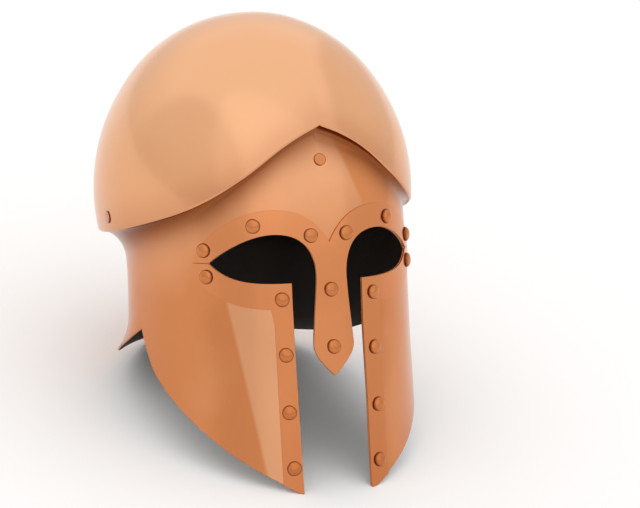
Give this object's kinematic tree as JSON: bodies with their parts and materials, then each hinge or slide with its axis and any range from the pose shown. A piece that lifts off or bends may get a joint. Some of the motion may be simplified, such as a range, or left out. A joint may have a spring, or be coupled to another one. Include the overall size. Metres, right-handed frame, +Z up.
{
  "type": "corinthian helmet",
  "caption": "Copper Corinthian helmet: domed skull over a one-piece face and neck wall with riveted eye, nose and cheek plates, resting on its cheek tips and neck rim.",
  "frame": {"origin": "on the ground under the middle of the resting helmet", "axes": "+Z up, -Y the way the face looks, +X the wearer's left. The helmet leans back as it rests."},
  "size_m": [0.2128, 0.3088, 0.2619],
  "materials": {
    "sheet": "polished copper, lightly tarnished",
    "plate": "polished copper, lightly tarnished",
    "rivet": "polished copper, darker round the edges"
  },
  "bodies": {
    "root": {"skull": "sheet", "face_and_neck": "sheet", "brow_and_nose_plate": "plate", "cheek_plate_right": "plate", "cheek_plate_left": "plate", "brow_rivet_right_1": "rivet", "brow_rivet_right_2": "rivet", "brow_rivet_right_3": "rivet", "brow_rivet_left_1": "rivet", "brow_rivet_left_2": "rivet", "brow_rivet_left_3": "rivet", "cheek_rivet_right_1": "rivet", "cheek_rivet_right_2": "rivet", "cheek_rivet_right_3": "rivet", "cheek_rivet_right_4": "rivet", "cheek_rivet_right_5": "rivet", "cheek_rivet_left_1": "rivet", "cheek_rivet_left_2": "rivet", "cheek_rivet_left_3": "rivet", "cheek_rivet_left_4": "rivet", "cheek_rivet_left_5": "rivet", "nose_rivet_1": "rivet", "nose_rivet_2": "rivet", "forehead_rivet": "rivet", "skull_rivet_right": "rivet", "skull_rivet_left": "rivet"}
  },
  "joints": []
}
